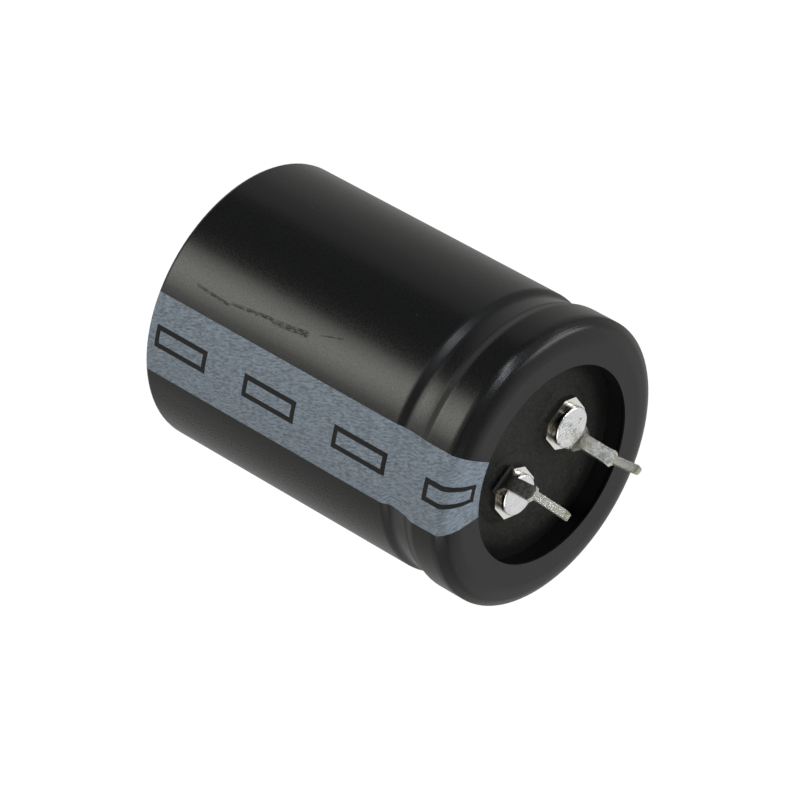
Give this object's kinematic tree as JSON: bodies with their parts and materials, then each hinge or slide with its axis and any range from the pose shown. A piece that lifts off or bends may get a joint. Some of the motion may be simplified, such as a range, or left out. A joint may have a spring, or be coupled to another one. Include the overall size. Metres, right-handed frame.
{
  "type": "snap-in electrolytic capacitor",
  "caption": "Radial snap-in electrolytic capacitor: sleeved aluminium can with a polarity stripe, a rolled groove, and riveted snap-in terminals in a recessed deck.",
  "frame": {"origin": "centre of the closed end's resting face, on the can's axis", "axes": "+Z along the can's axis towards the terminals; the terminal tips lie on the X axis, with the negative one, beside the stripe, at +X"},
  "size_m": [0.0308, 0.0308, 0.0477],
  "materials": {
    "can_aluminium": "drawn, satin",
    "sleeve_black": "shrunk film, semi-gloss",
    "stripe_print": "printed ink, fine wrinkled grain",
    "deck_moulding": "moulded, matte with fine specks",
    "seal_rubber": "matte",
    "terminal_tin": "tinned, dull with brighter edges",
    "rivet_aluminium": "pressed, matte face with specks"
  },
  "bodies": {
    "root": {"sealed_can": "can_aluminium", "seal_deck": "deck_moulding", "seal_ring": "seal_rubber", "sleeve": "sleeve_black", "polarity_stripe": "stripe_print", "terminal_negative": "terminal_tin", "terminal_positive": "terminal_tin", "rivet_negative": "rivet_aluminium", "rivet_positive": "rivet_aluminium"}
  },
  "joints": []
}
